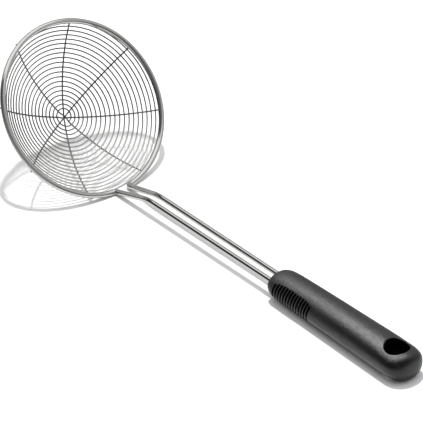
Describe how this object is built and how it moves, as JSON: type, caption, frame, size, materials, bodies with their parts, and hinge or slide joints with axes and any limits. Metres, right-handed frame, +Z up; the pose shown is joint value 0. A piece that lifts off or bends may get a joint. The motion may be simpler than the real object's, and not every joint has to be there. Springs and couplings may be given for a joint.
{
  "type": "wire skimmer strainer",
  "caption": "Wire skimmer with a shallow spiral bowl in a round steel hoop, a bent twin-rod shank and a soft ribbed grip with a hanging hole.",
  "frame": {"origin": "on the table under the middle of the strainer, which lies on its grip and on the neck of its hoop", "axes": "+X along the shank from the hoop to the grip, +Y across the strainer, +Z up; the open side of the bowl faces up and towards the grip"},
  "size_m": [0.387, 0.127, 0.0943],
  "materials": {
    "polished_rod": "polished stainless steel",
    "bright_wire": "bright drawn stainless steel",
    "hard_core": "plain moulded",
    "soft_rubber": "satin soft-touch"
  },
  "bodies": {
    "root": {"hoop_rod": "polished_rod", "spoke_wire_1": "bright_wire", "spoke_wire_2": "bright_wire", "spoke_wire_3": "bright_wire", "spoke_wire_4": "bright_wire", "spiral_wire": "bright_wire", "handle_core": "hard_core", "soft_grip": "soft_rubber"}
  },
  "joints": []
}
